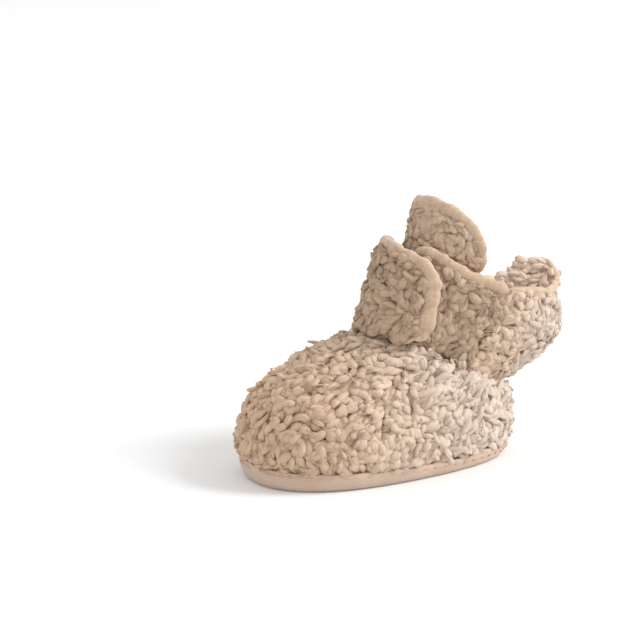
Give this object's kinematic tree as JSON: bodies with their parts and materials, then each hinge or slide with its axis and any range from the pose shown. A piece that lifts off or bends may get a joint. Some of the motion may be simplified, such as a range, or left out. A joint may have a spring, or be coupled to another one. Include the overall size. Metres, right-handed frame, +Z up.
{
  "type": "baby bootie",
  "caption": "Soft left baby bootie: suede sole, curly pile upper, tongue, gathered ankle and a flared shaft closed by a wide wrap flap.",
  "frame": {"origin": "on the ground plane under the middle of the sole", "axes": "+Z up; the toe points to -X; the wrap flap closes on the -Y side, the wearer's left"},
  "size_m": [0.1587, 0.0656, 0.1093],
  "materials": {
    "suede": "matt brushed suede",
    "foam": "matt closed-cell foam",
    "plush": "short soft plush",
    "pile": "curly sherpa pile",
    "binding": "soft turned edge binding",
    "thread": "polyester sewing thread",
    "elastic": "woven elastic",
    "hook_tape": "hook side of a hook and loop fastener",
    "loop_tape": "loop side of a hook and loop fastener"
  },
  "bodies": {
    "foot": {"outsole": "suede", "foam_insole": "foam", "footbed": "plush", "vamp_outer": "pile", "vamp_lining": "plush", "quarter_outer": "pile", "quarter_lining": "plush", "ankle_elastic": "elastic", "back_panel_outer": "pile", "back_panel_lining": "plush", "back_binding": "binding", "sole_stitches": "thread", "back_stitches": "thread"},
    "wing": {"wing_outer": "pile", "wing_lining": "plush", "wing_binding": "binding", "loop_pad": "loop_tape", "wing_stitches": "thread"},
    "flap": {"flap_outer": "pile", "flap_lining": "plush", "flap_binding": "binding", "hook_pad": "hook_tape", "flap_stitches": "thread"},
    "tongue": {"tongue_outer": "pile", "tongue_lining": "plush", "tongue_binding": "binding", "tongue_stitches": "thread"}
  },
  "joints": [
    {"name": "flap_peel", "type": "hinge", "parent": "foot", "child": "flap", "pos_m": [0.02452, 0.0262, 0.04528], "axis": [-0.3988, -0.1961, -0.8958], "range_deg": [0, 110]},
    {"name": "wing_open", "type": "hinge", "parent": "foot", "child": "wing", "pos_m": [0.02863, -0.026, 0.04345], "axis": [0.4714, -0.1959, 0.8599], "range_deg": [0, 40]},
    {"name": "tongue_tilt", "type": "hinge", "parent": "foot", "child": "tongue", "pos_m": [-0.0004, 0, 0.0502], "axis": [0, -1, 0], "range_deg": [0, 25]}
  ],
  "couplings": [
    {"joint": "wing_open", "follows": "flap_peel", "ratio": 0.35},
    {"joint": "tongue_tilt", "follows": "flap_peel", "ratio": 0.18}
  ]
}
